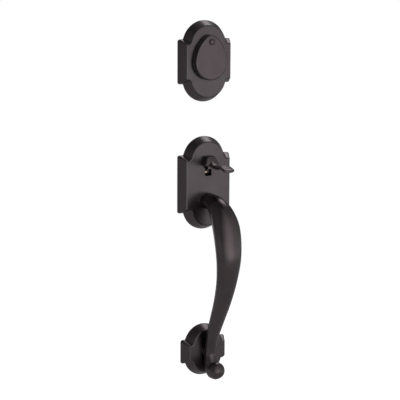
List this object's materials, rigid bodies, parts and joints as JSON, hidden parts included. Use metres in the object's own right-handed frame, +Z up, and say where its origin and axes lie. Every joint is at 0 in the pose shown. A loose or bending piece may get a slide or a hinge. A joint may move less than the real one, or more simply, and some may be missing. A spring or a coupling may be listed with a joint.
{
  "type": "entry door handleset",
  "caption": "Dark bronze entry door handleset: deadbolt trim with a swivel key cover, handle plate with thumbpiece and bowed grip, and lower rosette; exterior side.",
  "frame": {"origin": "centre of the latch bore on the door face, on the spindle's axis", "axes": "+X to the right seen from the street, +Y into the door, +Z up; the door face is the plane Y = 0"},
  "size_m": [0.0762, 0.1367, 0.4638],
  "materials": {
    "bronze": "satin dark bronze lacquer",
    "thumb_bronze": "satin dark bronze lacquer, rubbed a little brighter on the paddle",
    "brass": "machined, plain",
    "zinc_steel": "zinc plated sheet and bar",
    "steel_screws": "zinc plated screws and pins",
    "spring_steel": "bright spring wire"
  },
  "bodies": {
    "trim": {"deadbolt_plate": "bronze", "cover_rivet": "bronze", "rivet_washer": "zinc_steel", "cylinder_housing": "brass", "driver_pins": "zinc_steel", "pin_springs": "spring_steel", "chamber_cap": "brass", "deadbolt_backplate": "zinc_steel", "deadbolt_posts": "zinc_steel", "deadbolt_screws": "steel_screws", "handle_plate": "bronze", "pivot_bush": "brass", "pivot_pin": "steel_screws", "pivot_bracket": "zinc_steel", "bracket_screws": "steel_screws", "return_spring": "spring_steel", "spindle_bearing": "brass", "bearing_screws": "steel_screws", "handle_backplate": "zinc_steel", "handle_posts": "zinc_steel", "handle_screws": "steel_screws", "grip": "bronze", "root_screw": "steel_screws", "root_washer": "zinc_steel", "rosette": "bronze", "foot_stud": "zinc_steel", "foot_washer": "zinc_steel"},
    "cover": {"key_cover": "bronze"},
    "plug": {"key_plug": "brass", "key_pins": "brass", "plug_clip": "steel_screws", "torque_blade": "zinc_steel"},
    "thumb": {"thumbpiece": "thumb_bronze"},
    "drive": {"spindle_hub": "zinc_steel", "hub_clip": "steel_screws", "spindle": "zinc_steel"}
  },
  "joints": [
    {"name": "cover_swing", "type": "hinge", "parent": "trim", "child": "cover", "pos_m": [0, -0.019, 0.1647], "axis": [0, 1, 0], "continuous": true},
    {"name": "plug_turn", "type": "hinge", "parent": "trim", "child": "plug", "pos_m": [0, 0, 0.1397], "axis": [0, 1, 0], "range_deg": [-90, 90]},
    {"name": "thumb_press", "type": "hinge", "parent": "trim", "child": "thumb", "pos_m": [0, -0.006, -0.002], "axis": [1, 0, 0], "range_deg": [0, 20], "stiffness_Nm_per_rad": 0.4, "springref_deg": -20.05, "deforming": ["return_spring"]},
    {"name": "spindle_turn", "type": "hinge", "parent": "trim", "child": "drive", "pos_m": [0, 0, 0], "axis": [0, 1, 0], "range_deg": [-38, 0]}
  ],
  "couplings": [
    {"joint": "spindle_turn", "follows": "thumb_press", "ratio": -1.9}
  ]
}
